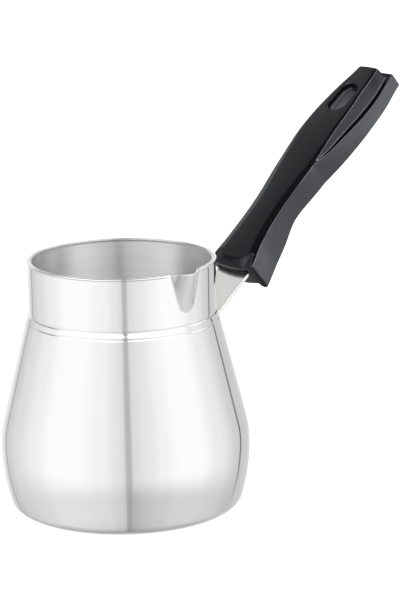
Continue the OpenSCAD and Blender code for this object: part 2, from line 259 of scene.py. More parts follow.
def plan_point(column, h, wall_offset, spout_offset, radius, in_neck):
    """Place of a column at a height above the spout's foot, moved outwards by its offset,
    which blends from the spout's to the wall's beside the creases."""
    kind, share = column
    half = spout_half(h) if in_neck else BASE_HALF
    crease = math.asin(half / NECK_R)
    if kind == "spout":
        a, pull = share * crease, 1.0
    else:
        a = math.copysign(crease + (math.pi - crease) * abs(share), share)
        u = min(1, max(0, abs(share) * BLEND_RATE - BLEND_START))
        pull = 1 - u * u * (3 - 2 * u)
    if not in_neck:
        return radius * math.cos(a), radius * math.sin(a)
    r = plan_radius(a, h, radius, half)
    step = 1e-4
    grow = (plan_radius(a + step, h, radius, half)
            - plan_radius(a - step, h, radius, half)) / (2 * step)
    size = math.hypot(r, grow)
    nx = (r * math.cos(a) + grow * math.sin(a)) / size
    ny = (r * math.sin(a) - grow * math.cos(a)) / size
    offset = wall_offset + (spout_offset - wall_offset) * pull
    return r * math.cos(a) + nx * offset, r * math.sin(a) + ny * offset


def build_pot():
    """The sheet as one closed skin of rings: up the outside, over the lip, down the inside."""
    columns = plan_columns()
    n = len(columns)
    outside, inside = pot_profile()
    neck_low = outside[-1][1] + 0.2
    spout_low = POT_HEIGHT - SPOUT_HEIGHT
    lip_low = POT_HEIGHT - LIP_HEIGHT
    neck = [spout_low + h for h in NECK_RINGS if spout_low + h > neck_low]
    # (height, radius, offset of the wall, offset of the spout, part of the neck)
    levels = [(z, r, 0.0, 0.0, False) for r, z in outside]
    levels += [(z, NECK_R, 0.0, 0.0, True) for z in neck]
    levels += [(lip_low + z, NECK_R, wall, spout, True) for z, wall, spout in lip_section()]
    turn_over = len(levels) - SATIN_RINGS
    levels += [(z, NECK_R, -SHEET, -SHEET, True) for z in reversed(neck)]
    levels += [(z, r, 0.0, 0.0, False) for r, z in inside]
    c, s = math.cos(SPOUT_AT), math.sin(SPOUT_AT)
    points = []
    for z, r, wall, spout, in_neck in levels:
        for column in columns:
            x, y = 0.0, 0.0
            if r > 0:
                x, y = plan_point(column, z - spout_low, wall, spout, r, in_neck)
            points.append(((x * c - y * s) * MM, (x * s + y * c) * MM, z * MM))
    faces = grid_faces(len(levels), n)
    mesh = mesh_from("pot", points, faces)
    mesh.polygons.foreach_set("material_index",
                              [0 if f // n < turn_over else 1 for f in range(len(faces))])
    outward(mesh, merge=1e-7)
    return new_object("pot", mesh)


# ---------------------------------------------------------------- grip, in millimetres
# Its frame: s along the grip from its root, y across it, z up through it.
GRIP_X, GRIP_Z, GRIP_SLOPE = 67.0, 91.5, 41.0
GRIP_LENGTH, SLAB_SETBACK = 120.3, 2.6          # the slab ends short of the tip
SLAB_DRAFT = 0.33                               # how its sides lean outwards going down
SLAB_EDGE, TIP_EDGE = 0.5, 0.9                  # radii of the far ends
ROOT_SETBACK, ROOT_BULGE = 0.1, 1.75            # place of its corners, bulge of its middle
ROOT_BAND, ROOT_BAND_RISE = 2.9, 1.15           # sloping band above the root's face
ROOT_CORNER, ROOT_HEEL = 1.1, 2.0               # radii of its upright corners and its heel
PANEL_CORNER = 3.6                              # radius of the panel's corners at the root
RECESS_WALL, RECESS_ROOF, RECESS_END = 2.6, -6.5, 32.0
RECESS_DRAFT = 1.3                              # how much thinner its walls are at the bottom
SLOT_LENGTH, SLOT_WIDTH, SLOT_PLACE = 17.6, 10.0, 97.2
SLOT_LIP = 0.55                                 # radius of its softened rims
SLOT_SEAM, SEAM_HALF, SEAM_DEPTH = 1.8, 0.3, 0.3    # groove that the mould left round it
SLOT_RIM = 2.5                                  # depth of the polished rim above its satin walls, whose grey is painted light
CLEAR = 30.0                                    # well outside the grip, for the cutters
SLIVER = 0.002                                  # edges shorter than this are joined
GRIP_CREASE, STRAP_CREASE = math.radians(28), math.radians(35)     # sharper edges stay sharp
# Tables of (s, value), which curve() joins smoothly. Half-width of the upper surface:
HALF_WIDTHS = [(-3, 13.7), (0, 13.3), (14, 10.5), (34, 9.2), (57, 10.5), (86, 9.9), (105, 7.7),
               (GRIP_LENGTH, 5.7)]
# height of the upper surface's edges
RIDGE_HEIGHTS = [(-3, 4.1), (0, 4.5), (14, 5.6), (40, 6.3), (57, 6.8), (76, 7.6), (98, 6.0),
                 (GRIP_LENGTH, 3.6)]
# height of the raised slab above the ledges beside it, and width of those ledges
SLAB_HEIGHTS = [(-3, 0.4), (57, 0.4), (70, 2.9), (84, 4.5), (102, 6.0), (GRIP_LENGTH, 5.5)]
LEDGE_WIDTHS = [(-3, 0.04), (56, 0.04), (62, 0.8), (76, 2.1), (90, 2.8), (GRIP_LENGTH, 2.4)]
UNDERSIDE = [(-3, -10.6), (8, -10.3), (22, -8.6), (34, -5.4), (48, -5.6), (88, -7.2),
             (105, -9.1), (GRIP_LENGTH, -10.0)]
# the panel on top: how far in from the edges it starts, and how far it stands above them
PANEL_INSETS = [(-3, 3.6), (48, 3.4), (78, 1.4), (GRIP_LENGTH, 1)]
PANEL_RISES = [(-3, 1.2), (48, 1.1), (78, 0.5), (GRIP_LENGTH, 0.4)]
PANEL_CROWN, PANEL_STEP = 0.3, 0.2
HIGHLIGHT_REACH = 0.25                                   # reach of the painted highlight line along its fine edges
SLAB_BEAD = 0.4                                 # bead along the foot of the slab
UNDER_EDGE = 0.9                                # bevel between its sides and its underside
# radii of a cross-section's corners, from the middle of the underside to the panel's edge
CORNER_RADII = [0, 0.7, 0.7, 0.35, 0.15, 0.2, 0.2, 0.3, 0.2, 0.4, 0]


def curve(table, s):
    """Cubic curve through (place, value) pairs, level at both ends."""
    i = 0
    while i < len(table) - 2 and s >= table[i + 1][0]:
        i += 1

    def slope(k):
        if k <= 0 or k >= len(table) - 1:
            return 0
        return (table[k + 1][1] - table[k - 1][1]) / (table[k + 1][0] - table[k - 1][0])

    (x0, y0), (x1, y1) = table[i], table[i + 1]
    h = x1 - x0
    u = min(1, max(0, (s - x0) / h))
    return (y0 * (1 + 2 * u) * (1 - u) ** 2 + y1 * u * u * (3 - 2 * u)
            + h * slope(i) * u * (1 - u) ** 2 - h * slope(i + 1) * u * u * (1 - u))


def rounded(corners, radii, steps=4):
    """A polyline with each corner replaced by a small arc of at most the given radius."""
    made = [np.array(corners[0], float)]
    for i in range(1, len(corners) - 1):
        a, b, c = (np.array(corners[k], float) for k in (i - 1, i, i + 1))
        ab, cb = a - b, c - b
        la, lc = np.linalg.norm(ab), np.linalg.norm(cb)
        ab, cb = ab / max(la, 1e-9), cb / max(lc, 1e-9)
        half = math.acos(max(-1, min(1, float(ab @ cb)))) / 2
        if half > math.pi / 2 - 0.02:
            made += [b + ab * 1e-4 * (steps - k) for k in range(steps + 1)]
            continue
        cut = min(radii[i] / math.tan(half), 0.45 * la, 0.45 * lc)
        r = cut * math.tan(half)
        centre = b + (ab + cb) / np.linalg.norm(ab + cb) * (r / math.sin(half))
        p, q = b + ab * cut - centre, b + cb * cut - centre
        swing = math.acos(max(-1, min(1, float(p @ q) / (r * r)))) if r > 1e-9 else 0
        for k in range(steps + 1):
            u = k / steps
            if swing > 1e-6:
                v = (p * math.sin((1 - u) * swing) + q * math.sin(u * swing)) / math.sin(swing)
            else:
                v = p
            made.append(centre + v)
    made.append(np.array(corners[-1], float))
    return made


def grip_half(s, slab, inset):
    """Half of a cross-section, from the middle of the underside to the crown.
    slab is 1 along the raised slab and 0 beyond it; inset shrinks what ends there."""
    w = curve(HALF_WIDTHS, s)
    ridge = curve(RIDGE_HEIGHTS, s)
    h = curve(SLAB_HEIGHTS, s)
    floor_z = curve(UNDERSIDE, s)
    foot = w + SLAB_DRAFT * h
    body = foot + curve(LEDGE_WIDTHS, s)
    ledge = ridge - h
    rise = curve(PANEL_RISES, s)
    shy = inset if slab else 0
    top = h if slab else 0.06
    side = w - shy if slab else foot - 0.05
    brim = min(w - curve(PANEL_INSETS, s), side - 0.4)
    cut = 0 if slab else inset
    bead = 0.01 + (SLAB_BEAD * min(1, max(0, h - 0.4) / 1.5) if slab else 0)
    lift = top + (rise if slab else 0.03) - shy
    step = PANEL_STEP if slab else 0.005
    # underside, bevel, side, ledge, bead, the slab's side and the panel's step
    corners = [(0, floor_z + cut), (body - UNDER_EDGE - cut, floor_z + cut),
               (body - cut, floor_z + UNDER_EDGE + cut), (body - cut, ledge - cut),
               (foot + bead * 0.4 - shy - cut, ledge + 0.02 - cut),
               (foot + bead * 0.5 - shy - cut, ledge + 0.02 + bead - cut),
               (foot - SLAB_DRAFT * 1.6 * bead - shy - cut, ledge + 0.02 + 1.6 * bead - cut),
               (side - cut, ledge + top - shy - cut),
               (brim + step - cut, ledge + lift - step - cut), (brim - cut, ledge + lift - cut)]
    crown = PANEL_CROWN if slab else 0.02
    for k in (0.75, 0.5, 0.25, 0.0):
        corners.append(((brim - cut) * k, ledge + lift - cut + crown * (1 - k * k)))
    arcs = rounded(corners[:len(CORNER_RADII)], CORNER_RADII)
    return arcs + [np.array(c, float) for c in corners[len(CORNER_RADII):]]


def grip_ring(s, slab, inset):
    half = grip_half(s, slab, inset)
    right = [(s, -p[0], p[1]) for p in half]
    left = [(s, p[0], p[1]) for p in half[-2:0:-1]]
    return right + left


def grip_stations():
    """(place, slab, inset) of every cross-section, with rounded ends."""
    slab_end = GRIP_LENGTH - SLAB_SETBACK
    stops = [(float(s), 1, 0.0) for s in np.arange(-3, slab_end - 1, 1.0)]

    def end(place, slab, edge, angles):
        return [(place - edge + edge * math.sin(math.radians(a)), slab,
                 edge * (1 - math.cos(math.radians(a)))) for a in angles]

    stops += end(slab_end, 1, SLAB_EDGE, (0, 30, 60, 90))
    stops.append((slab_end + 0.02, 0, 0.0))
    return stops + end(GRIP_LENGTH, 0, TIP_EDGE, (0, 22, 45, 67, 90))


def solid_from_rings(name, rings):
    """A closed solid from rings of equally many points, with flat ends."""
    n = len(rings[0])
    points = [p for ring in rings for p in ring]
    faces = grid_faces(len(rings), n)
    faces.append(tuple(range(n)))
    faces.append(tuple((len(rings) - 1) * n + j for j in range(n)))
    mesh = mesh_from(name, points, faces, smooth=False)
    outward(mesh)
    return new_object(name, mesh)


def on_grip():
    """From the grip's frame to the shared one."""
    return (Matrix.Translation((GRIP_X, 0, GRIP_Z))
            @ Matrix.Rotation(math.radians(-GRIP_SLOPE), 4, "Y"))


def top_height(s, y):
    """Height of the grip's upper surface."""
    w = curve(HALF_WIDTHS, s)
    brim = w - curve(PANEL_INSETS, s)
    ridge, rise = curve(RIDGE_HEIGHTS, s), curve(PANEL_RISES, s)
    if abs(y) <= brim:
        return ridge + rise + PANEL_CROWN * (1 - (y / brim) ** 2)
    return ridge + rise * (w - abs(y)) / (w - brim)


def root_face(y):
    """How far along the grip its root's face lies, with rounded corners."""
    wide = curve(HALF_WIDTHS, ROOT_SETBACK)
    face = ROOT_SETBACK - ROOT_BULGE * (1 - (y / wide) ** 2)
    over = abs(y) - (wide - ROOT_CORNER)
    if over > 0:
        face += ROOT_CORNER - math.sqrt(max(0, ROOT_CORNER ** 2 - min(over, ROOT_CORNER) ** 2))
        face += 4 * max(0, over - ROOT_CORNER)
    return face


def root_cutter():
    """What lies outside the root, with its sloping band and soft edges."""
    edge = curve(RIDGE_HEIGHTS, 0)
    heel = curve(UNDERSIDE, 0)
    brim = curve(HALF_WIDTHS, ROOT_BAND) - curve(PANEL_INSETS, ROOT_BAND)
    high = edge + 4 * ROOT_BAND_RISE
    rings = []
    # sections across the grip, closest together at its upright corners
    for y in np.concatenate([np.linspace(-14, -10, 33), np.linspace(-9.8, 9.8, 57),
                             np.linspace(10, 14, 33)]):
        face = root_face(y)
        over = min(max(0, abs(y) - (brim - PANEL_CORNER)), PANEL_CORNER)
        back = PANEL_CORNER - math.sqrt(PANEL_CORNER ** 2 - over ** 2)
        section = [(-CLEAR, -CLEAR), (face + ROOT_HEEL, -CLEAR)]
        for k in range(7):
            a = math.radians(15 * k)
            section.append((face + ROOT_HEEL * (1 - math.sin(a)),
                            heel + ROOT_HEEL * (1 - math.cos(a)) - 0.02))
        section += [tuple(p) for p in rounded(
            [section[-1], (face, edge), (face + ROOT_BAND + back, edge + ROOT_BAND_RISE),
             (face + 4 * ROOT_BAND + back, high)], [0, 0.4, 0.5, 0])[1:]]
        section.append((-CLEAR, high))
        rings.append([(s, y, z) for s, z in section])
    return solid_from_rings("root_cutter", rings)


def recess_cutter():
    """The recess under the root, between its two side walls, with a rounded roof."""
    stops = np.arange(-6.0, RECESS_END + 1, 3.0)
    half = [(s, curve(HALF_WIDTHS, s) - RECESS_WALL) for s in stops]
    rings = []
    for z, shrink in ((-CLEAR, -RECESS_DRAFT), (RECESS_ROOF - 3.5, -RECESS_DRAFT),
                      (RECESS_ROOF - 0.5, 0.0), (RECESS_ROOF - 0.15, 0.15), (RECESS_ROOF, 0.5)):
        rings.append([(s, w - shrink, z) for s, w in half]
                     + [(s, shrink - w, z) for s, w in reversed(half)])
    return solid_from_rings("recess_cutter", rings)


def slot_cutter():
    """The hanging slot, whose softened rims follow the upper and the lower surface."""
    reach = (SLOT_LENGTH - SLOT_WIDTH) / 2
    turns = [2 * math.pi * k / 64 for k in range(64)]
    outline = [(math.copysign(reach, math.cos(a)), math.cos(a), math.sin(a)) for a in turns]

    def under(x, y):
        return curve(UNDERSIDE, x)

    def seam(x, y):
        return SLOT_SEAM

    def ring(grow, surface, shift):
        made = []
        for end, c, s in outline:
            x = SLOT_PLACE + end + (SLOT_WIDTH / 2 + grow) * c
            y = (SLOT_WIDTH / 2 + grow) * s
            made.append((x, y, surface(x, y) + shift))
        return made

    turns = [math.radians(18 * k) for k in range(6)]
    rim = [(SLOT_LIP * (1 - math.sin(t)), SLOT_LIP * (1 - math.cos(t))) for t in turns]
    rings = [ring(SLOT_LIP + 1, under, -1)]
    rings += [ring(grow, under, depth) for grow, depth in rim]
    rings += [ring(0, seam, -SEAM_HALF), ring(SEAM_DEPTH, seam, 0), ring(0, seam, SEAM_HALF)]
    rings.append(ring(0, top_height, -SLOT_RIM))
    rings += [ring(grow, top_height, -depth) for grow, depth in reversed(rim)]
    rings.append(ring(SLOT_LIP + 1, top_height, 1))
    return solid_from_rings("slot_cutter", rings)


# ---------------------------------------------------------------- bracket, in millimetres
STRAP_WIDTH, STRAP_THICKNESS, STRAP_SLOPE, STRAP_LENGTH = 19.0, 1.5, 37.2, 45.0
STRAP_EDGE, TONGUE_WIDTH = 0.3, 12.0
BEND_R, FOOT_TOP, FOOT_HEIGHT = 2.5, 71.8, 20.0
FOOT_LOW = FOOT_TOP - FOOT_HEIGHT
FOOT_STEPS, BEND_STEPS, STRAIGHT_STEPS, ACROSS_STEPS = 44, 14, 8, 40
WELD_R, WELD_DEPTH, WELD_SOFTNESS = 2.2, 0.4, 0.14
WELD_SPREAD, WELD_ROWS = 4.6, (0.28, 0.72)      # rows as shares of the foot's height
STRAP_AT_ROOT, MOUTH_DEPTH, MOUTH_RISE, SOCKET_GAP = 22.0, 5.0, 2.0, 0.15
SCREW_PLACE, SCREW_R, HEAD_R = 36.0, 2.0, 3.8
SCREW_GAP, HEAD_GAP, SCREW_SEAT = 0.2, 0.6, 4.0     # seat: how far below the socket it lies
BEND_X = cone_radius(FOOT_TOP) + (BEND_R + STRAP_THICKNESS) * math.cos(math.radians(LEAN))
BEND_Z = FOOT_TOP + (BEND_R + STRAP_THICKNESS) * math.sin(math.radians(LEAN))


def on_strap():
    """Origin at the end of the bend, in the middle of the sheet, X along the strap."""
    return (Matrix.Translation((BEND_X, 0, BEND_Z))
            @ Matrix.Rotation(math.radians(-STRAP_SLOPE), 4, "Y")
            @ Matrix.Translation((0, 0, BEND_R + STRAP_THICKNESS / 2)))


def box_solid(name, low, high):
    mesh = bpy.data.meshes.new(name)
    work = bmesh.new()
    bmesh.ops.create_cube(work, size=1)
    for v in work.verts:
        v.co = Vector([low[k] + (v.co[k] + 0.5) * (high[k] - low[k]) for k in range(3)])
    work.to_mesh(mesh)
    work.free()
    return new_object(name, mesh)


def round_solid(name, radius, low, high, sides=48):
    """An upright cylinder on the Z axis."""
    turns = [2 * math.pi * k / sides for k in range(sides)]
    return solid_from_rings(name, [[(radius * math.cos(a), radius * math.sin(a), z)
                                    for a in turns] for z in (low, high)])


def carve(target, cutters):
    """Subtracts the cutters from target and leaves a plain mesh."""
    for cutter in cutters:
        change = target.modifiers.new("cut", "BOOLEAN")
        change.operation = "DIFFERENCE"
        change.solver = "EXACT"
        change.object = cutter
    bpy.context.view_layer.update()
    made = bpy.data.meshes.new_from_object(
        target.evaluated_get(bpy.context.evaluated_depsgraph_get()))
    target.modifiers.clear()
    old = target.data
    target.data = made
    made.name = target.name
    bpy.data.meshes.remove(old)
    for cutter in cutters:
        mesh = cutter.data
        bpy.data.objects.remove(cutter)
        bpy.data.meshes.remove(mesh)


def to_metres(mesh, matrix=Matrix.Identity(4)):
    mesh.transform(Matrix.Scale(MM, 4) @ matrix)


def on_highlight_edge(s, y, z):
    """Whether a place lies on one of the fine rounded edges along the grip's sides,
    where a highlight line is painted.
    """
    w, h = curve(HALF_WIDTHS, s), curve(SLAB_HEIGHTS, s)
    ridge = curve(RIDGE_HEIGHTS, s)
    foot = w + SLAB_DRAFT * h
    places = [(foot + curve(LEDGE_WIDTHS, s), ridge - h)]
    if h > 0.8:
        places += [(w, ridge), (foot, ridge - h + SLAB_BEAD)]
    return any(math.hypot(y - a, z - b) < HIGHLIGHT_REACH for a, b in places)


def socket_cutters():
    """The strap's mouth and socket and the screw's well and bore, in the grip's frame."""
    half, low = STRAP_WIDTH / 2 + SOCKET_GAP, -STRAP_THICKNESS / 2 - SOCKET_GAP
    start = STRAP_AT_ROOT - 8
    mouth = box_solid("mouth", (start, -half, low),
                      (STRAP_AT_ROOT + MOUTH_DEPTH, half, low + STRAP_THICKNESS + MOUTH_RISE))
    half = TONGUE_WIDTH / 2 + SOCKET_GAP
    socket = box_solid("socket", (start, -half, low), (STRAP_LENGTH + 1, half, -low))
    seat = low - SCREW_SEAT
    well = round_solid("well", HEAD_R + HEAD_GAP, seat - 12, seat)
    bore = round_solid("bore", SCREW_R + SCREW_GAP, seat - 1, low + 0.1)
    strap = on_grip().inverted() @ on_strap()
    screw = Vector((SCREW_PLACE, 0, 0))
    for cutter, place in ((mouth, Vector()), (socket, Vector()), (well, screw), (bore, screw)):
        for v in cutter.data.vertices:
            v.co = strap @ (v.co + place)
    return [mouth, socket, well, bore]


def grip_material_index(s, y, z, steepness):
    """Which material a face of the grip has: 0 gloss, 1 the slot's satin walls painted grey
    for the light they catch, 2 a fine edge painted with a highlight line.
    """
    along = max(0, abs(s - SLOT_PLACE) - (SLOT_LENGTH - SLOT_WIDTH) / 2)
    in_slot = math.hypot(along, y) < SLOT_WIDTH / 2 + 0.4 and steepness < 0.6
    near_middle, in_rim = abs(y) < 2.2, z > top_height(s, y) - SLOT_RIM
    # the slot's side walls below the rim and off the seam are painted grey, standing in for the
    # light they catch
    if in_slot and not (near_middle or in_rim or abs(z - SLOT_SEAM) < SEAM_HALF):
        return 1
    return 2 if on_highlight_edge(s, abs(y), z) else 0


def build_grip():
    """The moulded grip, lofted through its cross-sections and then cut."""
    grip = solid_from_rings("grip", [grip_ring(*stop) for stop in grip_stations()])
    carve(grip, [root_cutter(), recess_cutter(), slot_cutter()] + socket_cutters())
    mesh = grip.data
    work = bmesh.new()
    work.from_mesh(mesh)
    bmesh.ops.remove_doubles(work, verts=work.verts, dist=SLIVER)
    bmesh.ops.dissolve_degenerate(work, edges=work.edges, dist=SLIVER)
    work.to_mesh(mesh)
    work.free()
    for face in mesh.polygons:
        # the slot's walls and the fine edges get materials with painted light
        face.material_index = grip_material_index(*face.center, abs(face.normal.z))
    to_metres(mesh, on_grip())
    mesh.shade_smooth()
    mesh.set_sharp_from_angle(angle=GRIP_CREASE)
    return grip


def strap_section(place, half):
    """Points round a rounded rectangle; place turns (across, through) into a point."""
    r, t = min(STRAP_EDGE, half * 0.3), STRAP_THICKNESS / 2
    span = [-half + r + (2 * half - 2 * r) * i / ACROSS_STEPS for i in range(ACROSS_STEPS + 1)]

    def corner(y, through, angles):
        return [place(y + r * math.cos(math.radians(a)), through + r * math.sin(math.radians(a)))
                for a in angles]

    return ([place(y, t) for y in span]
            + corner(half - r, t - r, (60, 30, 0)) + corner(half - r, r - t, (0, -30, -60))
            + [place(-y, -t) for y in span]
            + corner(r - half, r - t, (-120, -150, 180))
            + corner(r - half, t - r, (180, 150, 120)))


def weld_dent(y, z):
    """Depth of the spot welds' dimples at a place on the foot."""
    dent = 0.0
    for row in WELD_ROWS:
        up = (z - FOOT_LOW - row * FOOT_HEIGHT) / math.cos(math.radians(LEAN))
        for side in (-WELD_SPREAD, WELD_SPREAD):
            away = math.hypot(y - side, up) - WELD_R
            dent = max(dent, 1 / (1 + math.exp(away / WELD_SOFTNESS)))
    return dent * WELD_DEPTH


def on_foot(z, y, through):
    """A place on the foot, which lies on the pot's shoulder."""
    out = through + STRAP_THICKNESS / 2
    if through > STRAP_THICKNESS / 2 - 0.01:
        out -= weld_dent(y, z)
    reach = cone_radius(z) + out / math.cos(math.radians(LEAN))
    return math.sqrt(reach ** 2 - y * y), y, z


def on_bend(a, share, y, through):
    """A place on the bend, at an angle and a share of the way round it.
    It starts with the pot's curve across, which fades out over two thirds of the way."""
    r = BEND_R + STRAP_THICKNESS / 2 - through
    sag = cone_radius(FOOT_TOP) - math.sqrt(cone_radius(FOOT_TOP) ** 2 - y * y)
    x = BEND_X + r * math.cos(a) - sag * max(0, 1 - share * 1.5)
    return x, y, BEND_Z + r * math.sin(a)


def on_flat(strap, along, y, through):
    """A place on the straight part."""
    return tuple(strap @ Vector((along, y, -through)))


def build_bracket():
    """The strap, swept up its foot, round its bend and into the grip."""
    rings = []
    half = STRAP_WIDTH / 2
    for k in range(FOOT_STEPS):
        drop = FOOT_HEIGHT * (1 - k / FOOT_STEPS)
        up = min(FOOT_HEIGHT - drop, half)
        width = half if up == half else math.sqrt(max(0.04, half ** 2 - (half - up) ** 2))
        rings.append(strap_section(partial(on_foot, FOOT_TOP - drop), width))
    start, stop = math.radians(180 + LEAN), math.radians(90 + STRAP_SLOPE)
    for k in range(BEND_STEPS + 1):
        share = k / BEND_STEPS
        rings.append(strap_section(partial(on_bend, start + (stop - start) * share, share), half))
    shoulder = STRAP_AT_ROOT + MOUTH_DEPTH - 1
    stops = [(shoulder * k / STRAIGHT_STEPS, half) for k in range(1, STRAIGHT_STEPS + 1)]
    stops += [(shoulder + 0.01, TONGUE_WIDTH / 2), (STRAP_LENGTH, TONGUE_WIDTH / 2)]
    for along, width in stops:
        rings.append(strap_section(partial(on_flat, on_strap(), along), width))
    bracket = solid_from_rings("bracket", rings)
    to_metres(bracket.data)
    bracket.data.shade_smooth()
    bracket.data.set_sharp_from_angle(angle=STRAP_CREASE)
    return bracket


# ---------------------------------------------------------------- materials
def material(name):
    """A new material with its node tree and its shader."""
    made = bpy.data.materials.new(name)
    made.use_nodes = True
    tree = made.node_tree
    shader = tree.nodes["Principled BSDF"]
    return made, tree, shader


def node(tree, kind, inputs=None, **values):
    """A new node with its inputs linked to sockets or set to constants."""
    made = tree.nodes.new(kind)
    for key, value in values.items():
        setattr(made, key, value)
    for key, value in (inputs or {}).items():
        if isinstance(value, bpy.types.NodeSocket):
            tree.links.new(value, made.inputs[key])
        else:
            made.inputs[key].default_value = value
    return made


def noise(tree, scale, detail=3.0, rough=0.5, seed=0.0):
    """Noise in millimetres, stretched by three scales along X, Y and Z."""
    where = node(tree, "ShaderNodeTexCoord").outputs["Object"]
    spot = node(tree, "ShaderNodeMapping", {"Vector": where, "Location": (seed, seed, seed),
                                            "Scale": tuple(v / MM for v in scale)})
    return node(tree, "ShaderNodeTexNoise", {"Vector": spot.outputs[0], "Scale": 1.0,
                                             "Detail": detail, "Roughness": rough}).outputs["Fac"]


def strokes(tree, direction, along, across, seed=0.0):
    """Noise drawn out along a direction, as brushing leaves it."""
    where = node(tree, "ShaderNodeTexCoord").outputs["Object"]
    parts = []
    for axis, scale in zip(direction, (along, across, across)):
        dot = node(tree, "ShaderNodeVectorMath", {0: where, 1: axis}, operation="DOT_PRODUCT")
        parts.append(node(tree, "ShaderNodeMath", {0: dot.outputs["Value"], 1: scale / MM},
                          operation="MULTIPLY").outputs[0])
    spot = node(tree, "ShaderNodeCombineXYZ", {0: parts[0], 1: parts[1], 2: parts[2]})
    moved = node(tree, "ShaderNodeVectorMath", {0: spot.outputs[0], 1: (seed, seed, seed)})
    return node(tree, "ShaderNodeTexNoise", {"Vector": moved.outputs[0], "Scale": 1.0,
                                             "Detail": 3.0}).outputs["Fac"]


def spread(tree, value, low, high, start=0.3, stop=0.7):
    """Maps start..stop of a value onto low..high."""
    return node(tree, "ShaderNodeMapRange",
                {0: value, 1: start, 2: stop, 3: low, 4: high}).outputs[0]


def combine(tree, a, b, operation="ADD"):
    return node(tree, "ShaderNodeMath", {0: a, 1: b}, operation=operation).outputs[0]


def tint(tree, value, dark, light, start=0.3, stop=0.7):
    """A colour between two others, led by a value."""
    made = node(tree, "ShaderNodeMix", {0: spread(tree, value, 0.0, 1.0, start, stop),
                                        6: (*dark, 1), 7: (*light, 1)}, data_type="RGBA")
    return made.outputs[2]


def bump(tree, shader, height, depth_mm):
    made = node(tree, "ShaderNodeBump", {"Height": height, "Distance": depth_mm * MM})
    tree.links.new(made.outputs["Normal"], shader.inputs["Normal"])


def strap_axes():
    """Directions along, across and through the strap."""
    slope = math.radians(STRAP_SLOPE)
    return ((math.cos(slope), 0, math.sin(slope)), (0, 1, 0),
            (-math.sin(slope), 0, math.cos(slope)))


def edges(tree, low, high):
    """1 on convex edges, where handling wears a surface first."""
    sharp = node(tree, "ShaderNodeNewGeometry").outputs["Pointiness"]
    return spread(tree, sharp, 0.0, 1.0, low, high)


def steel_outside():
    """Mirror polish with faint circular polishing lines, smudges and a slightly wavy sheet."""
    made, tree, shader = material("polished_steel")
    shader.inputs["Metallic"].default_value = 1
    lines = noise(tree, (0.02, 0.02, 5.0), 4.0)
    smudge = noise(tree, (0.045, 0.045, 0.03), 4.0, 0.6, 3.0)
    colour = tint(tree, smudge, (0.915, 0.92, 0.925), (0.94, 0.945, 0.945))
    tree.links.new(colour, shader.inputs["Base Color"])
    rough = combine(tree, spread(tree, smudge, 0.05, 0.075), spread(tree, lines, -0.008, 0.008))
    tree.links.new(rough, shader.inputs["Roughness"])
    wave = noise(tree, (0.05, 0.05, 0.022), 1.0, 0.4, 7.0)
    height = combine(tree, combine(tree, wave, 0.045, "MULTIPLY"),
                     combine(tree, lines, 0.0003, "MULTIPLY"))
    bump(tree, shader, height, 1.0)
    return made


def steel_inside():
    """Turned finish: fine rings that spread the light up and down."""
    made, tree, shader = material("turned_steel")
    shader.inputs["Metallic"].default_value = 1
    shader.inputs["Anisotropic"].default_value = 1.0
    shader.inputs["Anisotropic Rotation"].default_value = 0.25
    tangent = node(tree, "ShaderNodeTangent", direction_type="RADIAL", axis="Z")
    tree.links.new(tangent.outputs[0], shader.inputs["Tangent"])
    rings = noise(tree, (0.03, 0.03, 2.4), 4.0, 0.7)
    broad = noise(tree, (0.04, 0.04, 0.35), 2.0, 0.5, 5.0)
    mixed = combine(tree, combine(tree, rings, 0.65, "MULTIPLY"),
                    combine(tree, broad, 0.35, "MULTIPLY"))
    tree.links.new(tint(tree, mixed, (0.88, 0.89, 0.89), (0.97, 0.97, 0.96), 0.36, 0.64),
                   shader.inputs["Base Color"])
    tree.links.new(spread(tree, mixed, 0.36, 0.46), shader.inputs["Roughness"])
    bump(tree, shader, rings, 0.012)
    return made


def strap_finish():
    """Satin steel brushed along the strap, with a few longer scratches."""
    made, tree, shader = material("strap_steel")
    shader.inputs["Metallic"].default_value = 1
    brushed = strokes(tree, strap_axes(), 0.12, 3.2)
    scratch = strokes(tree, strap_axes(), 0.05, 1.3, 9.0)
    cloud = noise(tree, (0.12, 0.12, 0.12), 2.0, 0.5, 2.0)
    base = combine(tree, combine(tree, brushed, 0.6, "MULTIPLY"),
                   combine(tree, cloud, 0.4, "MULTIPLY"))
    tree.links.new(tint(tree, base, (0.82, 0.82, 0.80), (0.93, 0.93, 0.91)),
                   shader.inputs["Base Color"])
    rough = combine(tree, spread(tree, brushed, 0.13, 0.21),
                    spread(tree, scratch, 0.0, 0.08, 0.62, 0.7))
    tree.links.new(rough, shader.inputs["Roughness"])
    bump(tree, shader, combine(tree, brushed, scratch), 0.01)
    return made


def make_grip_material(name="phenolic", shine=0.28, low=0.11, high=0.18, shade=0.0015):
    """Black phenolic: flow marks, a fine moulded grain and edges worn a little.
    low and high bound its roughness, shine is its specular level, shade its darkest colour;
    a raised shade paints light: grey on the slot's walls, highlight lines on the fine edges."""
    made, tree, shader = material(name)
    shader.inputs["Specular IOR Level"].default_value = shine
    shader.inputs["Specular Tint"].default_value = (0.8, 0.87, 1.0, 1)
    grain = noise(tree, (4.5, 4.5, 4.5), 2.0, 0.6)
    flow = noise(tree, (0.12, 0.12, 0.12), 3.0, 0.55, 4.0)
    worn = edges(tree, 0.51, 0.56)
    black = tint(tree, flow, (shade, shade, 1.12 * shade), (2 * shade, 2 * shade, 2.24 * shade))
    colour = node(tree, "ShaderNodeMix", {0: worn, 6: black, 7: (0.03, 0.03, 0.033, 1)},
                  data_type="RGBA").outputs[2]
    tree.links.new(colour, shader.inputs["Base Color"])
    rough = combine(tree, spread(tree, flow, low, high),
                    combine(tree, worn, 0.12, "MULTIPLY"))
    tree.links.new(rough, shader.inputs["Roughness"])
    height = combine(tree, combine(tree, grain, 0.004, "MULTIPLY"),
                     combine(tree, flow, 0.012, "MULTIPLY"))
    bump(tree, shader, height, 1.0)
    return made


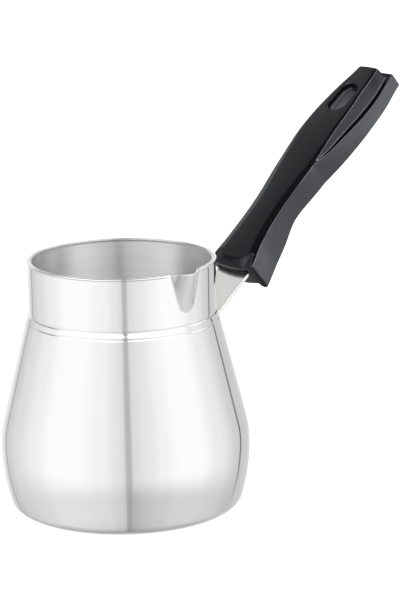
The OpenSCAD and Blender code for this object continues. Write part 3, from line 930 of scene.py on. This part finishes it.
def machined(name, dark, light, rough):
    """A small turned part: tool marks, uneven tarnish and brighter edges."""
    made, tree, shader = material(name)
    shader.inputs["Metallic"].default_value = 1
    along, across, through = strap_axes()
    marks = strokes(tree, (across, along, through), 0.6, 5.0)
    tarnish = noise(tree, (0.9, 0.9, 0.9), 3.0, 0.6, 6.0)
    worn = edges(tree, 0.5, 0.58)
    colour = node(tree, "ShaderNodeMix", {0: worn, 6: tint(tree, tarnish, dark, light),
                                          7: (*light, 1)}, data_type="RGBA").outputs[2]
    tree.links.new(colour, shader.inputs["Base Color"])
    tree.links.new(combine(tree, spread(tree, tarnish, rough - 0.06, rough + 0.08),
                           spread(tree, marks, -0.03, 0.03)), shader.inputs["Roughness"])
    bump(tree, shader, marks, 0.008)
    return made


# ---------------------------------------------------------------- surroundings
TENT_STRENGTH = 2.42
TOP_POWER, SIDE_POWER = 0.42, 0.66
SIDE_AIM = Vector((0.03, 0, 0.04))              # from the grip's middle towards its tip
FLOOR_REACH, FLOOR_Z = 4.0, -0.0002              # metres; it lies just under the pot
# Brightness of the tent as (azimuth, level), counted from the camera's side, in three storeys;
# the dark notches are the gaps between its panels.
UPPER_STOPS = [(-180, 0.085), (-115, 0.06), (-103, 0.06), (-95, 0.45), (-82, 0.85), (-68, 1.0),
               (-58, 1.0), (-40, 0.93), (-20, 0.83), (-8, 0.76), (-1, 0.68), (1, 0.2), (5, 0.2),
               (7, 0.7), (20, 0.82), (30, 0.92), (42, 1.0), (60, 1.0), (76, 0.85), (84, 0.6),
               (88, 0.12), (97, 0.12), (101, 0.5), (115, 0.5), (150, 0.34), (180, 0.085)]
MIDDLE_STOPS = [(-180, 0.85), (-160, 0.8), (-147, 0.62), (-145, 0.25), (-143, 0.58),
                (-120, 0.70), (-95, 0.83), (-72, 0.94), (-50, 0.95), (-22, 0.86), (-8, 0.76),
                (-2, 0.69), (0.5, 0.46), (4, 0.46), (6.5, 0.69), (20, 0.77), (35, 0.87),
                (52, 0.95), (72, 0.95), (95, 0.8), (125, 0.6), (129.5, 0.56), (130.5, 0.12),
                (132.5, 0.12), (133.5, 0.56), (150, 0.58), (180, 0.85)]
LOWER_STOPS = [(-180, 0.62), (-147, 0.52), (-145, 0.3), (-143, 0.5), (-120, 0.6), (-95, 0.66),
               (-72, 0.73), (-50, 0.73), (-22, 0.69), (-8, 0.62), (-2, 0.58), (0.5, 0.37),
               (4, 0.37), (6.5, 0.46), (20, 0.53), (35, 0.58), (52, 0.63), (72, 0.64),
               (95, 0.6), (125, 0.5), (150, 0.55), (180, 0.62)]
LOWER_TO_MIDDLE, MIDDLE_TO_UPPER = (-33, -17), (20, 26)     # elevations where storeys meet
# its brightness as (elevation, level)
HEIGHT_STOPS = [(-90, 0.25), (-60, 0.37), (-50, 0.43), (-43, 0.455), (20, 0.455), (33, 1.2),
                (54, 1.2), (60, 0.1), (90, 0.04)]


def build_world():
    """A light tent that everything reflects, and plain white for the camera."""
    world = bpy.data.worlds.new("studio")
    scene.world = world
    world.use_nodes = True
    tree = world.node_tree
    tree.nodes.clear()
    where = node(tree, "ShaderNodeTexCoord").outputs["Generated"]
    towards = Vector((math.sin(CAMERA_AZIMUTH), -math.cos(CAMERA_AZIMUTH), 0))
    side = Vector((-towards.y, towards.x, 0))

    def math_node(operation, *values):
        return node(tree, "ShaderNodeMath", dict(enumerate(values)), operation=operation).outputs[0]

    def along(v):
        return node(tree, "ShaderNodeVectorMath", {0: where, 1: v},
                    operation="DOT_PRODUCT").outputs["Value"]

    turn = math_node("ARCTAN2", along(side), along(towards))
    share = math_node("ADD", math_node("DIVIDE", turn, 2 * math.pi), 0.5)
    height = math_node("ARCSINE", along(Vector((0, 0, 1))))
    rise = math_node("ADD", math_node("DIVIDE", height, math.pi), 0.5)

    def ramp(value, span, stops):
        """Grey levels at angles, on a value that runs from 0 to 1 over the span."""
        made = node(tree, "ShaderNodeValToRGB", {"Fac": value})
        made.color_ramp.interpolation = "EASE"
        elements = made.color_ramp.elements
        while len(elements) > 1:
            elements.remove(elements[-1])
        for k, (angle, level) in enumerate(stops):
            if k:
                elements.new(angle / span + 0.5)
            elements[k].position, elements[k].color = angle / span + 0.5, (level, level, level, 1)
        return made.outputs["Color"]

    def blend(climb, below, above):
        climb = ramp(rise, 180, [(climb[0], 0.0), (climb[1], 1.0)])
        return node(tree, "ShaderNodeMix", {0: climb, 6: below, 7: above},
                    data_type="RGBA").outputs[2]

    upper, middle, lower = (ramp(share, 360, stops)
                            for stops in (UPPER_STOPS, MIDDLE_STOPS, LOWER_STOPS))
    around = blend(MIDDLE_TO_UPPER, blend(LOWER_TO_MIDDLE, lower, middle), upper)
    light = node(tree, "ShaderNodeVectorMath", {0: around, 1: ramp(rise, 180, HEIGHT_STOPS)},
                 operation="MULTIPLY").outputs[0]
    seen = node(tree, "ShaderNodeLightPath").outputs["Is Camera Ray"]
    tent = node(tree, "ShaderNodeBackground", {"Color": light, "Strength": TENT_STRENGTH})
    white = node(tree, "ShaderNodeBackground", {"Color": (1, 1, 1, 1), "Strength": 1.0})
    both = node(tree, "ShaderNodeMixShader", {0: seen, 1: tent.outputs[0], 2: white.outputs[0]})
    node(tree, "ShaderNodeOutputWorld", {"Surface": both.outputs[0]})
    world.cycles.sampling_method = "MANUAL"
    world.cycles.sample_map_resolution = 512


def softbox(name, aim, azimuth, elevation, distance, size, power, lit):
    """An area light that only some pieces see, at a distance from what it aims at;
    its azimuth is counted from the camera's side."""
    data = bpy.data.lights.new(name, "AREA")
    data.shape = "RECTANGLE"
    data.size, data.size_y = size
    data.energy = power
    light = bpy.data.objects.new(name, data)
    scene.collection.objects.link(light)
    turn = CAMERA_AZIMUTH - math.pi / 2 + math.radians(azimuth)
    rise = math.radians(elevation)
    away = Vector((math.cos(turn) * math.cos(rise), math.sin(turn) * math.cos(rise),
                   math.sin(rise)))
    light.location = aim + away * distance
    light.rotation_euler = away.to_track_quat("Z", "Y").to_euler()
    light.visible_camera = False
    group = bpy.data.collections.new(name)
    for piece in lit:
        group.objects.link(piece)
    light.light_linking.receiver_collection = group
    nothing = bpy.data.collections.new(name + "_blockers")
    nothing.objects.link(bpy.data.objects["floor"])
    light.light_linking.blocker_collection = nothing


def build_floor():
    """A white ground that mirrors nothing and is clear when seen from below."""
    r = FLOOR_REACH
    mesh = mesh_from("floor", [(-r, -r, 0), (r, -r, 0), (r, r, 0), (-r, r, 0)], [(0, 1, 2, 3)])
    floor = new_object("floor", mesh)
    made, tree, shader = material("floor")
    shader.inputs["Base Color"].default_value = (0.9, 0.9, 0.9, 1)
    shader.inputs["Roughness"].default_value = 0.9
    shader.inputs["Emission Color"].default_value = (1, 1, 1, 1)
    shader.inputs["Emission Strength"].default_value = 0.6
    below = node(tree, "ShaderNodeNewGeometry").outputs["Backfacing"]
    clear = node(tree, "ShaderNodeBsdfTransparent").outputs[0]
    both = node(tree, "ShaderNodeMixShader", {0: below, 1: shader.outputs[0], 2: clear})
    tree.links.new(both.outputs[0], tree.nodes["Material Output"].inputs["Surface"])
    mesh.materials.append(made)
    floor.visible_glossy = False
    floor.location.z = FLOOR_Z


build_world()
build_floor()

pot = build_pot()
pot.data.materials.append(steel_outside())
pot.data.materials.append(steel_inside())
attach(pot, "root")
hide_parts("pot_body")

pieces = {}
for build, replaced, slot, finish in ((build_grip, "handle_grip", "phenolic", make_grip_material),
                                      (build_bracket, "handle_bracket", "strap_steel",
                                       strap_finish)):
    piece = build()
    piece.data.materials.append(finish())
    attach(piece, "root")
    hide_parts(replaced)
    pieces[replaced] = piece

for name, dark, light, rough in (
        ("threaded_insert", (0.55, 0.38, 0.16), (0.8, 0.6, 0.3), 0.32),
        ("handle_screw", (0.5, 0.5, 0.49), (0.72, 0.72, 0.71), 0.3),
        ("lock_washer", (0.42, 0.42, 0.41), (0.66, 0.66, 0.65), 0.36)):
    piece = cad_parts[name]
    piece.data.materials.clear()
    piece.data.materials.append(machined(name, dark, light, rough))

# the grip's duller places, with painted light: the slot's walls grey for the light they catch,
# the fine edges with highlight lines; name, shine, low, high, shade
grip = pieces["handle_grip"]
for look in (("slot_walls_painted_light", 0.8, 0.4, 0.48, 0.05), ("grip_edges_painted_highlight", 0.5, 0.25, 0.3, 0.085)):
    grip.data.materials.append(make_grip_material(*look))

low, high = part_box("handle_grip")
grip_middle = (Vector(low) + Vector(high)) / 2
softbox("top_softbox", grip_middle, -128, 43, 0.6, (0.5, 0.5), TOP_POWER, list(pieces.values()))
softbox("side_softbox", grip_middle + SIDE_AIM, 80, 4, 0.4, (0.45, 0.3), SIDE_POWER, [grip])
